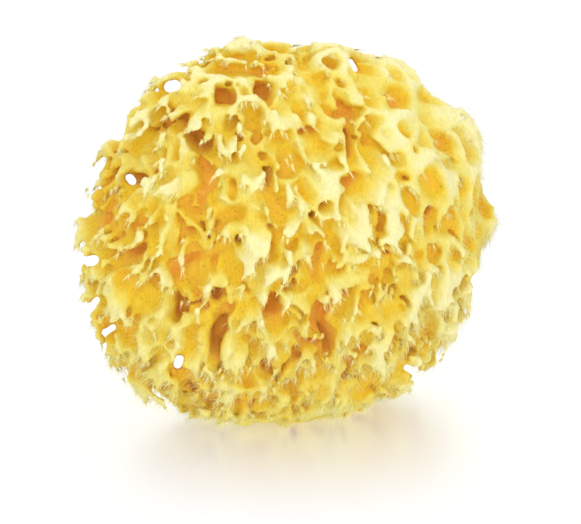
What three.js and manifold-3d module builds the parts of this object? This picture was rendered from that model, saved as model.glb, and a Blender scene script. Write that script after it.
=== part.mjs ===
// A natural bath sponge of the honeycomb kind: one grown piece, a slightly flattened ball with deep
// canals, cut flat underneath where it was taken off its rock. Millimetres, +Z up. The origin is on
// the flat cut, under the middle of the sponge's box, and the broad ragged face looks towards -Y.

import * as THREE from 'three';
import { mergeVertices } from 'three/addons/utils/BufferGeometryUtils.js';
import Module from 'manifold-3d';

// Driving dimensions.
const MEAN_RADIUS = 62.7;     // of the face, seen from the front
const HALF_DEPTH = 48;        // from the middle of the sponge to its front or back
const SLANT = 0.3;            // how far the right flank lies behind the left one, per millimetre across
const MIDDLE_HEIGHT = 54.7;   // of the middle above the flat cut
const FACE_LEAN = THREE.MathUtils.degToRad(15); // the face's canals were set out in a plane leaning back
const BALL_DETAIL = 12;       // subdivisions of the ball's faces
const CANAL_SIDES = 8;
const ABOVE_SKIN = 4;         // a canal's cutter starts this far outside the skin
const RISE = 0.5;             // canals climb as they go in, by this share of their length
const SPREAD = 0.5;           // and lean outwards from the middle of the face by this share, at its edge

// How the face's outline departs from a circle: [lobes round the outline, millimetres, angle of a peak].
const OUTLINE_LOBES = [[1, 1.1, 64], [2, 1.6, -6], [3, 0.9, -10], [4, 0.8, 21]];

// The wide canals of the face: [across, up, mouth radius, depth], from the middle of the face.
const FACE_CANALS = [
  // upper left
  [-41, 32, 3.5, 15], [-27, 26.5, 3.2, 14], [-50, 26, 3.4, 10], [-22, 40, 3.8, 15], [-42, 42.5, 2.6, 9],
  // crown
  [-8, 45.5, 3.4, 14], [-18, 52, 2.6, 9], [34, 42, 4.2, 13], [20, 37.5, 3.2, 12], [2, 51.5, 2.6, 9],
  // middle
  [1, 33, 2.6, 10], [8, 30, 3.2, 9], [21, 27, 3.8, 14], [-1, 25.5, 2.8, 12], [-12, 35, 2.8, 9],
  [-29, 15, 3.5, 16], [-8.5, 15.5, 2.7, 14], [3, 19.5, 2.4, 12], [22, 10, 3.2, 12], [-3, 8, 3.6, 7],
  [-17, 4, 3.6, 7], [14.5, -5, 3.6, 10], [-4, -10, 3.0, 9], [10, -17, 2.6, 13], [-18, -11, 3.4, 7],
  // left
  [-51, 15, 3.0, 13], [-45, 8, 3.2, 10], [-37, 0, 2.7, 12], [-35, -12, 2.9, 12], [-51, -6, 3.0, 10],
  [-57, 6, 2.8, 8], [-43, -12, 2.6, 9],
  // right
  [32, 23, 2.8, 11], [38.5, 9, 3.2, 11], [47, 15, 4.4, 7], [52, 3, 2.8, 9], [31, -11, 2.6, 9],
  // lower left
  [-45, -21, 2.5, 12], [-35, -27, 3.0, 14], [-24, -22, 2.8, 13], [-23, -34.5, 3.3, 14], [-42, -47, 2.8, 9],
  // lower middle and right
  [-4.5, -26, 3.9, 15], [12, -29, 3.5, 15], [12, -38, 2.6, 12], [23.5, -25, 2.9, 11], [30.5, -35.5, 2.7, 11],
  [-7, -43, 2.6, 10],
];

// The canals of the sides, the crown and the back follow a spiral over the ball.
const SPIRAL_CANALS = 84;
const SPIRAL_MOUTH = 3.1;
const SPIRAL_DEPTH = 11;
const FACE_EDGE = 0.02;       // spiral canals start behind this share of the half depth
const FOOT_CLEAR = -0.72;     // none opens below this, so that the foot stays whole

const GOLDEN_TURN = Math.PI * (3 - Math.sqrt(5));
const up = new THREE.Vector3(0, 0, 1);
const wasm = await Module();
wasm.setup();

function outlineRadius(angle) {
  return OUTLINE_LOBES.reduce(
    (radius, [lobes, size, peak]) => radius + size * Math.cos(lobes * (angle - THREE.MathUtils.degToRad(peak))),
    MEAN_RADIUS,
  );
}

// Two slow waves that swell and dent the ball.
function swelling(u) {
  return 1 + 0.016 * Math.sin(5 * u.x + 1.3) * Math.cos(4 * u.z - 0.6) + 0.012 * Math.sin(6 * u.y + 3 * u.z);
}

// The skin's point in the direction u, a unit vector from the middle.
function skinPoint(u) {
  const radius = outlineRadius(Math.atan2(u.z, u.x)) * swelling(u);
  return new THREE.Vector3(
    radius * u.x,
    HALF_DEPTH * swelling(u) * u.y + SLANT * radius * u.x,
    radius * u.z + MIDDLE_HEIGHT,
  );
}

// The outward normal there, from two short steps along the skin.
function skinNormal(u) {
  const step = 1e-3;
  const aside = new THREE.Vector3().crossVectors(up, u).normalize();
  const rise = new THREE.Vector3().crossVectors(u, aside);
  const here = skinPoint(u);
  const [a, b] = [aside, rise].map((way) => skinPoint(u.clone().addScaledVector(way, step).normalize()).sub(here));
  return a.cross(b).normalize();
}

// The direction whose skin point lies at (across, above) on the leaning face.
function faceDirection(across, above) {
  const radius = outlineRadius(Math.atan2(above, across));
  const goal = new THREE.Vector2(across, above);
  const u = new THREE.Vector3(across / radius, 0, above / radius);
  for (let pass = 0; pass < 30; pass += 1) {
    const flat = Math.min(Math.hypot(u.x, u.z), 0.98);
    const share = flat / Math.max(Math.hypot(u.x, u.z), 1e-6);
    u.set(u.x * share, -Math.sqrt(1 - flat * flat), u.z * share);
    const p = skinPoint(u);
    const seen = (p.z - MIDDLE_HEIGHT) * Math.cos(FACE_LEAN) + p.y * Math.sin(FACE_LEAN);
    u.x += (0.5 * (goal.x - p.x)) / MEAN_RADIUS;
    u.z += (0.5 * (goal.y - seen)) / MEAN_RADIUS;
  }
  const flat = Math.min(Math.hypot(u.x, u.z), 0.98);
  const share = flat / Math.max(Math.hypot(u.x, u.z), 1e-6);
  return new THREE.Vector3(u.x * share, -Math.sqrt(1 - flat * flat), u.z * share);
}

function solidOf(geometry) {
  const bare = geometry.clone();
  bare.deleteAttribute('normal');
  bare.deleteAttribute('uv');
  const merged = mergeVertices(bare, 1e-4);
  const corners = Array.from(merged.index.array);
  const kept = [];
  for (let i = 0; i < corners.length; i += 3) {
    const [a, b, c] = corners.slice(i, i + 3);
    if (a !== b && b !== c && c !== a) kept.push(a, b, c);
  }
  return new wasm.Manifold(new wasm.Mesh({
    numProp: 3,
    vertProperties: new Float32Array(merged.attributes.position.array),
    triVerts: new Uint32Array(kept),
  }));
}

// The ball: each vertex of a finely divided icosahedron moved out to the skin.
function ball() {
  const geometry = new THREE.IcosahedronGeometry(1, BALL_DETAIL);
  const position = geometry.getAttribute('position');
  for (let i = 0; i < position.count; i += 1) {
    const p = skinPoint(new THREE.Vector3().fromBufferAttribute(position, i).normalize());
    position.setXYZ(i, p.x, p.y, p.z);
  }
  return solidOf(geometry);
}

// One canal's cutter: a funnel that narrows to its round end, turned to follow the canal inwards.
function canal(u, mouth, depth) {
  const profile = [
    [0, -ABOVE_SKIN],
    [1.5 * mouth, -ABOVE_SKIN],
    [1.2 * mouth, 0],
    [0.85 * mouth, depth - 0.6 * mouth],
    [0, depth],
  ].map(([radius, along]) => new THREE.Vector2(radius, along));
  const geometry = new THREE.LatheGeometry(profile, CANAL_SIDES);
  const inwards = skinNormal(u).negate()
    .add(new THREE.Vector3(-SPREAD * u.x, 0, RISE).multiplyScalar(1 - Math.abs(u.z) * 0.5))
    .normalize();
  geometry.applyQuaternion(new THREE.Quaternion().setFromUnitVectors(new THREE.Vector3(0, 1, 0), inwards));
  const start = skinPoint(u);
  geometry.translate(start.x, start.y, start.z);
  return solidOf(geometry);
}

function faceCanals() {
  return FACE_CANALS.map(([across, above, mouth, depth]) => canal(faceDirection(across, above), mouth, depth));
}

function spiralCanals() {
  const found = [];
  for (let i = 0; i < SPIRAL_CANALS; i += 1) {
    const level = 1 - (2 * (i + 0.5)) / SPIRAL_CANALS;
    const ring = Math.sqrt(1 - level * level);
    const u = new THREE.Vector3(ring * Math.cos(i * GOLDEN_TURN), ring * Math.sin(i * GOLDEN_TURN), level);
    if (u.y > FACE_EDGE && u.z > FOOT_CLEAR) found.push(canal(u, SPIRAL_MOUTH, SPIRAL_DEPTH));
  }
  return found;
}

// Everything below the flat cut.
function underCut() {
  const size = 4 * MEAN_RADIUS;
  return solidOf(new THREE.BoxGeometry(size, size, size).translate(0, 0, -size / 2));
}

// Moved sideways so that its box is centred over the origin.
function centred(solid) {
  const { min, max } = solid.boundingBox();
  return solid.translate([-(min[0] + max[0]) / 2, -(min[1] + max[1]) / 2, 0]);
}

function spongeGeometry() {
  const cutters = wasm.Manifold.union([...faceCanals(), ...spiralCanals()]);
  const made = centred(ball().subtract(underCut()).subtract(cutters));
  const mesh = made.getMesh();
  const positions = new Float32Array(mesh.numVert * 3);
  for (let i = 0; i < mesh.numVert; i += 1) {
    positions.set(mesh.vertProperties.subarray(i * mesh.numProp, i * mesh.numProp + 3), i * 3);
  }
  const geometry = new THREE.BufferGeometry();
  geometry.setAttribute('position', new THREE.BufferAttribute(positions, 3));
  geometry.setIndex(new THREE.BufferAttribute(mesh.triVerts, 1));
  geometry.computeVertexNormals();
  return geometry;
}

const spongin = new THREE.MeshStandardMaterial({ color: 0xe9cf6c, roughness: 0.9, metalness: 0 });
const sponge = new THREE.Mesh(spongeGeometry(), spongin);
sponge.name = 'sponge';

const part = new THREE.Group();
part.add(sponge);

export default part;
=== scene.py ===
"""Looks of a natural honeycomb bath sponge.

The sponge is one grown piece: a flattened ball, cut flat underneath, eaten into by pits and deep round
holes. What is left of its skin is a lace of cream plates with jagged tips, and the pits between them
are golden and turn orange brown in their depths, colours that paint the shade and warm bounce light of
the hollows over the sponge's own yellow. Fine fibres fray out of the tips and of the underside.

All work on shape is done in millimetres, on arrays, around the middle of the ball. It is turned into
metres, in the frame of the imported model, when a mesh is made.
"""

import math

import bpy
import numpy as np
from bpy.props import FloatProperty, FloatVectorProperty, IntProperty, PointerProperty
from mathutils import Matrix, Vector


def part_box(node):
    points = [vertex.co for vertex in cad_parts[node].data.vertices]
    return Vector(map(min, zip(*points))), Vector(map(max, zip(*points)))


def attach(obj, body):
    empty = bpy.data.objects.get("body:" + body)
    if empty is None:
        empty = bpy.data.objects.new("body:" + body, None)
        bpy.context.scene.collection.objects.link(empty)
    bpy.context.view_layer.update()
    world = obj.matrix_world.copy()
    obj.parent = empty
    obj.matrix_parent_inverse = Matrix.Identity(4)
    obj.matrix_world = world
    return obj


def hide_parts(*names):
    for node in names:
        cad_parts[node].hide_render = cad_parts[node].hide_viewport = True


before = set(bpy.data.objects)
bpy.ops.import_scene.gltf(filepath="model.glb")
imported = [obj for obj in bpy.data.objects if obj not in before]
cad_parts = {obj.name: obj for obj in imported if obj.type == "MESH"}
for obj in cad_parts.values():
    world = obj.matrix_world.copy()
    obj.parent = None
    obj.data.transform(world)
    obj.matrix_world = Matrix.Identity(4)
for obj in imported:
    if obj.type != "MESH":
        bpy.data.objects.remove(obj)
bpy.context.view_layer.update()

bl_info = {
    "name": "Bath Sponge",
    "version": (1, 0, 0),
    "blender": (4, 5, 0),
    "location": "3D View > Sidebar > Sponge",
    "description": "Builds a natural honeycomb bath sponge with its fibres, and a stage to show it on",
    "category": "Add Mesh",
}

NODE = "sponge"
BODY = "root"
MM = 0.001
WHITE = 1.03                   # strength of light that shows as pure white
GOLDEN_TURN = math.pi * (3 - math.sqrt(5))

# ------------------------------
# The ball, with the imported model's own dimensions, in millimetres, and the box of points around it
# ------------------------------
MEAN_RADIUS = 62.7
HALF_DEPTH = 48.0
SLANT = 0.3
MIDDLE_HEIGHT = 54.7
OUTLINE_LOBES = ((1, 1.1, 64), (2, 1.6, -6), (3, 0.9, -10), (4, 0.8, 21))  # number, size, peak's angle
GRID_LOW = (-68.0, -58.0)      # least place across and in depth
GRID_HIGH = (70.0, 58.0, 68.0)

# The face was set out as it shows from this far away, to an eye that looks down by this angle.
EYE_DISTANCE = 560.0
EYE_RISE = math.radians(15.5)
SIGHT = np.array([0.0, math.cos(EYE_RISE), -math.sin(EYE_RISE)])
SIGHT_UP = np.array([0.0, math.sin(EYE_RISE), math.cos(EYE_RISE)])

# ------------------------------
# Hollows of the face, in millimetres across and up from its middle:
# (across, up, radius, depth, half of the extra length, the way it is drawn out in degrees).
# ------------------------------
UPPER_LEFT = (
    (-43, 42, 3.4, 7, 1, 30), (-41, 32, 3.3, 13, 1, 80), (-35.5, 30, 2.4, 12, 0.5, 60),
    (-49, 25, 3.8, 8, 1, 70), (-27.5, 26.5, 3.0, 14, 1.8, -15), (-45, 23, 2.3, 6, 0, 0),
    (-57, 22, 2.6, 6, 1, 80), (-29, 45.5, 1.2, 5, 0, 0), (-29.5, 43.3, 1.0, 4, 0, 0),
    (-32.5, 38.7, 1.6, 8, 5, -12), (-32, 42.3, 0.8, 5, 1.5, -10), (-50, 35, 2.0, 5, 1, 60),
    (-35, 50, 1.8, 5, 2, 25), (-36, 23, 2.0, 7, 1, 40), (-53, 14, 2.0, 6, 1, 80),
)
CROWN = (
    (-12.5, 57, 1.3, 8, 6.5, 3), (-1, 52, 1.6, 8, 2, -60), (-15, 52.3, 1.5, 9, 8, 2),
    (-7.5, 45.5, 3.2, 13, 0.3, 0), (-21.5, 40, 3.7, 14, 0.3, 0), (-16, 42, 2.3, 8, 0, 0),
    (-12, 35.5, 3.1, 9, 0.5, 0), (-17, 31, 2.7, 8, 0, 0), (-13, 30, 1.9, 7, 0, 0), (-8, 31, 1.9, 7, 0, 0),
    (1.5, 36, 2.2, 6, 6.5, 86), (-1.5, 26, 2.6, 10, 0.5, 90), (10.5, 35.5, 1.5, 8, 4, -38),
    (7, 29.5, 3.2, 7, 0.5, 0), (-17.5, 23.5, 1.7, 12, 0, 0), (-24, 25, 1.9, 7, 0, 0),
    (4, 50.3, 1.4, 8, 3, 4), (12.5, 55, 1.9, 7, 0, 0), (12.5, 42, 1.5, 9, 4.5, -72),
    (19.5, 37.5, 2.8, 9, 0.5, 0), (19, 45, 1.2, 6, 0, 0), (20.5, 27, 2.3, 12, 5, 84),
    (2, 21, 2.6, 9, 1.5, 0), (-12, 22, 3.2, 8, 0.5, 20), (-26, 33, 2.0, 7, 0.6, 40),
)
UPPER_RIGHT = (
    (23, 54, 3.3, 8, 1, 20), (24.5, 49, 1.1, 6, 0, 0), (26, 43, 2.5, 8, 0.6, 90),
    (34, 42, 4.3, 8, 1.2, 20), (45, 34.5, 1.1, 8, 1.3, -10), (33.5, 23.5, 2.1, 8, 0.3, 0),
    (30.5, 32, 0.8, 5, 0, 0), (42.5, 28.5, 2.0, 4, 0.5, 0), (50, 21, 0.9, 6, 4.5, 0),
    (54.5, 28, 1.2, 6, 5, -58), (56, 33, 1.2, 5, 0.5, -60), (43, 45, 1.6, 5, 2, -35),
    (27, 34, 1.4, 5, 1, 70), (38, 34, 1.6, 4, 1, 20),
)
MIDDLE_LEFT = (
    (-50.5, 15, 2.9, 13, 0.8, 80), (-41.5, 12.5, 2.2, 6, 0.5, 60), (-44, 8, 3.2, 8, 0.6, 30),
    (-38, 9, 1.5, 6, 0, 0), (-44, 0, 2.2, 7, 2, 80), (-56, 6, 3.2, 7, 0.6, 80), (-51, 1.5, 2.4, 7, 0.5, 0),
    (-35, 19, 2.0, 7, 0.3, 0), (-28, 15, 2.9, 15, 1.5, 80), (-37, -2.5, 1.8, 7, 6, 90),
    (-34, -13, 2.8, 12, 0.5, 0), (-51, -6, 2.0, 9, 2, 10), (-42, -12, 2.0, 6, 0.5, 0),
    (-50, -17.5, 2.0, 7, 0.4, 30), (-58, -13, 1.8, 5, 0.4, 80), (-29, -16, 2.0, 4, 0.4, 0),
    (-23.5, -14, 1.5, 9, 0, 0), (-40, -17, 1.8, 7, 4, -30), (-59, -4, 1.6, 6, 0.5, 80),
    (-30, 3, 2.2, 6, 1.5, 70), (-24, 8, 1.8, 6, 1, 90), (-27, -6, 2.2, 6, 2, 90),
)
CENTRE = (
    (-8, 16, 2.4, 14, 1.4, 85), (2, 18.5, 1.4, 10, 6, 0), (5, 13, 3.3, 7, 0.3, 0),
    (-2, 9, 3.6, 7, 0.5, 0), (-18, 13, 2.8, 8, 0.3, 0), (-18.5, 11, 1.0, 10, 0, 0),
    (-12, 8, 1.2, 8, 0, 0), (-17, 4, 3.6, 7, 0.6, 90), (11.5, 8, 1.4, 10, 0, 0), (18, 8, 1.8, 10, 0.3, 0),
    (8.5, 3, 2.3, 9, 0.5, -40), (14, -3, 3.2, 9, 0.5, 0), (9.5, -6.5, 1.6, 10, 0, 0),
    (13.5, -8, 2.6, 10, 0, 0),
    (10, -16.3, 2.1, 14, 2.8, -62), (-5, -4, 2.8, 8, 1, 80), (-4, -19, 2.0, 8, 0.5, 0),
    (-14, -5.5, 1.2, 10, 0, 0), (-18, -9, 4.2, 7, 1, 90), (4, -5, 1.6, 8, 3, -45), (1.5, -20, 1.5, 9, 0, 0),
    (-9, 1, 1.6, 6, 1, 60), (5, -11, 1.5, 7, 2.5, 90), (-11, -15, 2.0, 7, 1.5, 80),
)
MIDDLE_RIGHT = (
    (23, 12, 3.0, 12, 1.5, 80), (26.5, 0, 1.0, 9, 4.5, -72), (36, 18.5, 1.9, 8, 0.3, 0),
    (39, 8.5, 2.6, 9, 1.4, -20), (36.5, 3.2, 1.4, 7, 1.5, -60), (36.5, -1.5, 2.1, 7, 0.4, 0),
    (46, 15, 4.4, 5, 0.6, 0), (52, 5, 3.6, 5, 0.8, 80), (42.2, -6.2, 1.1, 9, 3.8, -60),
    (31.5, -13, 1.3, 9, 6.5, 90), (26.5, -13, 3.1, 7, 0.4, 90), (36, -16, 2.7, 7, 0.4, 90),
    (46, -18, 1.9, 7, 0.5, 80), (58.5, 4.5, 1.0, 5, 0, 0), (23.5, -18.5, 1.7, 7, 0, 0),
    (20, -8, 1.6, 7, 3, 85), (52, -9, 2.2, 5, 1, 70), (19, 17, 1.2, 6, 0, 0), (31, 12, 1.4, 6, 1, 70),
)
LOWER_LEFT = (
    (-35.5, -26, 2.8, 12, 0.5, 90), (-27.5, -27.5, 2.1, 7, 0.3, 0), (-24, -22, 2.4, 13, 0.3, 0),
    (-38, -31, 2.3, 7, 0.4, 60), (-22.5, -34.5, 3.0, 14, 0.6, 85), (-33, -43, 1.5, 7, 0.4, 70),
    (-43.5, -41, 2.1, 6, 0.5, 45), (-41, -36, 1.5, 6, 0, 0), (-42, -46.5, 2.6, 5, 0.8, 40),
    (-49, -42.5, 2.2, 5, 0.5, 50), (-26.5, -41, 2.7, 7, 0.4, 0), (-23, -50, 2.3, 6, 0.5, 70),
    (-45, -22, 2.0, 7, 0.5, 40), (-31, -35, 1.6, 6, 1, 80), (-50, -30, 2.0, 6, 1, 50),
    (-31, -50, 1.6, 5, 1, 50),
)
LOWER_MIDDLE = (
    (-4, -27, 3.5, 15, 0.9, 88), (12, -29, 3.3, 14, 0.6, 90), (12.5, -35, 2.0, 12, 1.5, 90),
    (17, -26, 1.8, 11, 0.4, 90), (6, -37, 1.5, 9, 5, -32), (12, -39.5, 1.9, 13, 0.5, -60),
    (-21, -41, 1.8, 12, 0.2, 0), (-9.5, -36, 1.5, 8, 1, 90), (-12.5, -33, 1.9, 7, 0, 0),
    (-7, -43.5, 2.1, 11, 0.3, 0), (-13, -45, 1.9, 6, 0.4, 90), (-16, -53, 2.1, 7, 0.4, 80),
    (-1.5, -54, 3.4, 5, 1, 0), (7.5, -51, 1.5, 5, 0.3, 0), (3.5, -24.5, 2.0, 4, 0.4, 0),
    (20, -44, 1.1, 7, 4, 88),
)
LOWER_RIGHT = (
    (24, -25, 2.8, 10, 0.4, 90), (30.5, -35.5, 2.4, 9, 0.5, 60), (33, -43, 2.2, 6, 1.8, 30),
    (23.5, -39, 0.8, 6, 0, 0), (42, -23.5, 0.8, 6, 1.4, 70), (42.5, -27, 0.8, 6, 1.4, 70),
    (38, -32, 1.9, 6, 0.4, 40), (50, -25, 1.5, 5, 0.6, 60),
)
FACE_HOLLOWS = (
    UPPER_LEFT + CROWN + UPPER_RIGHT + MIDDLE_LEFT + CENTRE + MIDDLE_RIGHT
    + LOWER_LEFT + LOWER_MIDDLE + LOWER_RIGHT
)

# Holes near the edge of the face that light shines through: (across, up, radius, half extra length, way).
SEE_THROUGH = (
    (-35.8, 45.6, 1.4, 0.8, 10), (-53, 32.5, 1.9, 0.6, 60), (-48.5, 17.3, 1.0, 0.7, -50),
    (-60.2, -7.4, 1.3, 0.5, 20), (-59.8, -20.5, 0.8, 1.6, 55), (-55, -28.3, 0.8, 1.3, 35),
    (-34, -38, 1.1, 0.8, 70), (36.5, -40, 0.9, 1.2, -25), (56, -12.5, 0.7, 0.6, 60),
    (19, 52.3, 0.6, 1.6, -60),
)

# ------------------------------
# Zones: the crown and the upper right are smooth and rounded, the rest is ragged, the foot is shaggy.
# ------------------------------
SMOOTH_WAY = (0.80, 0.60)      # across and up, towards the smoothest part
SMOOTH_FROM, SMOOTH_TO = 18.0, 50.0

# ------------------------------
# Fixed measures, in millimetres where they are lengths
# ------------------------------
HOLE_FROM = 8.5                # a pit of the face has a hole in its floor if it is listed as deeper
ABOVE_FLOOR = 2.5              # a hole starts this far above its pit's floor
LEAST_HOLED_PIT = 1.8          # radius of the narrowest filling pit with a hole in its floor
PIT_TRIES = 26000              # points at which a filling pit is tried
CELL_REACH = 12.0              # depth down to which a pit counts among the walls' distances
TUNNEL_STAGES = 6              # a tunnel is a row of this many tubes
TUNNEL_STEP = 11.0             # and each starts this much further in
TUNNEL_WIDENING = 0.13         # and is wider by this share of the first
CLEAR_OF_TUNNELS = 2.5         # no fibre or tip's end is nearer to a tunnel's wall
FAR_OUT = 30.0                 # a field's value where nothing is near
HOLE_DEPTHS = (5, 7)           # least and greatest, of the holes in the filling pits' floors
BITE_GAP = 2.1                 # size of the cells that hold one bite each
BITE_RADII = (0.7, 1.35)
BITE_DEPTHS = (3.0, 5.0)
TIP_GAP = 1.6                  # size of the cells that hold one tip each
TIP_LENGTHS = (1.8, 3.8)
TIP_RADII = (0.65, 1.0)
TIP_TAPER = 0.7                # share of its radius that a tip loses along its length
LIP_DEPTH = 2.6                # a wall draws in under its top, down to this depth
LIP_DRAW = 0.35                # and by this much
CREST_ROUNDING = 1.3           # width over which a wall's top edges are rounded
SMOOTH_ROUNDING = 0.9          # and how much wider that is on the smooth part
FLOOR_ROUNDING = 2.4           # width over which a wall runs into a pit's floor
THORN_LENGTHS = (0.8, 1.8)
THORN_RADII = (0.4, 0.8)
SOFTENING_ROUNDS = 13
# The closed-in places that these boxes find are painted with shade.
NEAR_REACH, FAR_REACH = 2.0, 4.5   # sizes of the boxes over which closed-in places are felt
FIBRES_PER_FRAY = 6
AIM_ACROSS, AIM_UP = -1.1, -7.4    # the camera aims this far from the middle

# The soft lights: name, property that holds the power, place from the middle and width, in metres.
LIGHTS = (
    ("Front", "front", (-0.05, -0.7, 0.28), 0.45),
    ("Top", "top", (-0.12, -0.05, 0.6), 0.6),
    ("Back", "back", (0.15, 0.5, 0.6), 0.4),
    ("Right", "right", (0.5, -0.45, 0.02), 0.35),
)
FLOOR_HALF = 3.0               # half the width of the floor, in metres

ACROSS = np.array([1.0, 0.0, 0.0])
UPWARD = np.array([0.0, 0.0, 1.0])


class SpongeShape(bpy.types.PropertyGroup):
    """Sizes of the sponge's hollows, plates and tips."""

    step: FloatProperty(
        name="Step", description="Spacing of the points at which the body is worked out",
        default=0.5 * MM, min=0.3 * MM, unit="LENGTH",
    )
    plate_drop: FloatProperty(
        name="Plate Drop", description="How far the plates lie under the ball, to leave room for the tips",
        default=0.3 * MM, unit="LENGTH",
    )
    relief: FloatProperty(
        name="Relief", description="How far the lowest ridges lie under the highest ones",
        default=5.0 * MM, unit="LENGTH",
    )
    wall: FloatProperty(
        name="Wall", description="Thickness of the walls between the pits, at their tops",
        default=1.3 * MM, unit="LENGTH",
    )
    pit_radius: FloatProperty(
        name="Pit Radius", description="Radius of the widest pits that fill the sides and the back",
        default=3.6 * MM, unit="LENGTH",
    )
    rise: FloatProperty(
        name="Rise", description="How steeply the hollows climb as they go in, per unit of depth",
        default=0.55,
    )
    tips: IntProperty(name="Tips", description="Number of jagged tips", default=1300, min=0)
    body_faces: IntProperty(
        name="Body Faces", description="Most triangles that the body keeps", default=192000, min=1000,
    )
    seed: IntProperty(name="Seed", description="Start of the random draws", default=23)


class SpongeFibres(bpy.types.PropertyGroup):
    """Sizes and numbers of the loose fibres."""

    thorns: IntProperty(name="Thorns", description="Number of small crisp thorns", default=1500, min=0)
    frays: IntProperty(name="Frays", description="Number of frayed bundles at the tips", default=1500, min=0)
    fray_length: FloatProperty(
        name="Fray Length", description="Length of the fibres in a frayed bundle",
        default=3.0 * MM, unit="LENGTH",
    )
    fuzz: IntProperty(
        name="Fuzz", description="Number of hairs that lie over the plates", default=17800, min=0,
    )
    fuzz_length: FloatProperty(
        name="Fuzz Length", description="Length of the hairs at the foot", default=3.0 * MM, unit="LENGTH",
    )
    thickness: FloatProperty(
        name="Thickness", description="Thickness of a fibre at its root", default=0.25 * MM, unit="LENGTH",
    )


class SpongeColours(bpy.types.PropertyGroup):
    """Colours of the sponge from its tips down into its hollows: the ramp through them is painted shade,
    from the light cream of the open tips to the orange brown shade of the depths.
    """

    # The tips' cream is the light end of the painted shade, where a place is high and open.
    tip: FloatVectorProperty(
        name="Tips", description="Cream of the tips, the light end of the painted shade", subtype="COLOR", size=3,
        default=(0.93, 0.86, 0.43), min=0, max=1,
    )
    fibre: FloatVectorProperty(
        name="Fibres", description="Bright cream of the loose fibres", subtype="COLOR", size=3,
        default=(0.98, 0.92, 0.45), min=0, max=1,
    )
    plate: FloatVectorProperty(
        name="Plates", description="Yellow of the plates' flanks", subtype="COLOR", size=3,
        default=(0.87, 0.74, 0.17), min=0, max=1,
    )
    floor: FloatVectorProperty(
        name="Pit Floors", description="Golden yellow of the pits", subtype="COLOR", size=3,
        default=(0.84, 0.57, 0.035), min=0, max=1,
    )
    # The depths' orange brown is painted shade and warm bounce light in the holes.
    depth: FloatVectorProperty(
        name="Depths", description="Orange brown of the deep holes", subtype="COLOR", size=3,
        default=(0.90, 0.49, 0.07), min=0, max=1,
    )


class SpongeStage(bpy.types.PropertyGroup):
    """The camera and the lights."""

    lens: FloatProperty(
        name="Lens", description="Focal length of the camera, in millimetres", default=114.0,
    )
    front: FloatProperty(
        name="Front Light", description="Power of the soft light in front", default=1.5, unit="POWER",
    )
    top: FloatProperty(
        name="Top Light", description="Power of the light above", default=0.95, unit="POWER",
    )
    right: FloatProperty(
        name="Right Light", description="Power of the light low on the right", default=0.85, unit="POWER",
    )
    back: FloatProperty(
        name="Back Light", description="Power of the light high up behind", default=1.1, unit="POWER",
    )
    room: FloatProperty(name="Room Light", description="Brightness of the white room", default=0.66)


# ------------------------------
# The ball as formulas on arrays of points
# ------------------------------
def outline_radius(bearing):
    """Radius of the face's outline: a mean radius plus a few slow cosine lobes round it."""
    radius = np.full_like(bearing, MEAN_RADIUS)
    for lobes, size, peak in OUTLINE_LOBES:
        radius += size * np.cos(lobes * (bearing - math.radians(peak)))
    return radius


def swelling(x, y, z):
    """Two slow waves over the unit ball that swell and dent it by about one part in fifty."""
    return 1 + 0.016 * np.sin(5 * x + 1.3) * np.cos(4 * z - 0.6) + 0.012 * np.sin(6 * y + 3 * z)


def skin_points(u):
    """Points of the skin in the directions u: the face's outline scaled across and up, the half depth
    front to back, with each point set back by the slant times its place across."""
    radius = outline_radius(np.arctan2(u[:, 2], u[:, 0])) * swelling(*u.T)
    thick = HALF_DEPTH * swelling(*u.T)
    return np.stack([radius * u[:, 0], thick * u[:, 1] + SLANT * radius * u[:, 0], radius * u[:, 2]], 1)


def ball_share(x, y, z):
    """How far out a point lies, as a share of the way to the skin: below 1 inside and above 1 outside.
    It undoes the slant, divides by the radii and compares the length left with the swelling there."""
    radius = outline_radius(np.arctan2(z, x))
    a = x / radius
    b = (y - SLANT * x) / HALF_DEPTH
    c = z / radius
    length = np.sqrt(a * a + b * b + c * c) + 1e-9
    return length / swelling(a / length, b / length, c / length)


def share_slope(points, step=0.5):
    """Gradient of ball_share at the points, by central differences."""
    slope = np.empty_like(points)
    for axis in range(3):
        offset = np.zeros(3)
        offset[axis] = step
        ahead = ball_share(*(points + offset).T)
        behind = ball_share(*(points - offset).T)
        slope[:, axis] = (ahead - behind) / (2 * step)
    return slope


def unit(vectors):
    """The vectors at length one."""
    return vectors / np.maximum(np.linalg.norm(vectors, axis=-1, keepdims=True), 1e-9)


def face_plane(across, up):
    """Vectors in the plane that faces the eye: so far across and so far up."""
    return across[:, None] * ACROSS + up[:, None] * SIGHT_UP


def on_face(across, up):
    """Points of the skin that show at these places on the face: a walk along each sight line finds the
    first step inside the ball, and halving that step closes in on the skin. A line that misses the
    ball takes its nearest point."""
    eye = -EYE_DISTANCE * SIGHT
    way = unit(face_plane(across, up) - eye)
    walk = np.linspace(EYE_DISTANCE - 80, EYE_DISTANCE + 30, 221)
    points = eye + walk[None, :, None] * way[:, None, :]
    share = ball_share(*points.reshape(-1, 3).T).reshape(len(across), -1)
    inside = share < 1
    hit = inside.any(1)
    first = np.where(hit, inside.argmax(1), share.argmin(1))
    near = walk[np.maximum(first - 1, 0)]
    far = walk[first]
    for _ in range(20):
        middle = (near + far) / 2
        within = ball_share(*(eye + middle[:, None] * way).T) < 1
        far = np.where(within, middle, far)
        near = np.where(within, near, middle)
    return eye + np.where(hit, far, walk[first])[:, None] * way


def smoothness(across, up):
    """How smooth and rounded the sponge is, from 0 where it is ragged to 1 at the upper right, by an
    eased ramp along one slanting direction. The crown is half smooth."""
    along = SMOOTH_WAY[0] * across + SMOOTH_WAY[1] * up
    ramp = np.clip((along - SMOOTH_FROM) / (SMOOTH_TO - SMOOTH_FROM), 0, 1)
    return np.maximum(ramp * ramp * (3 - 2 * ramp), 0.5 * np.clip((up - 36) / 14, 0, 1))


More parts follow.
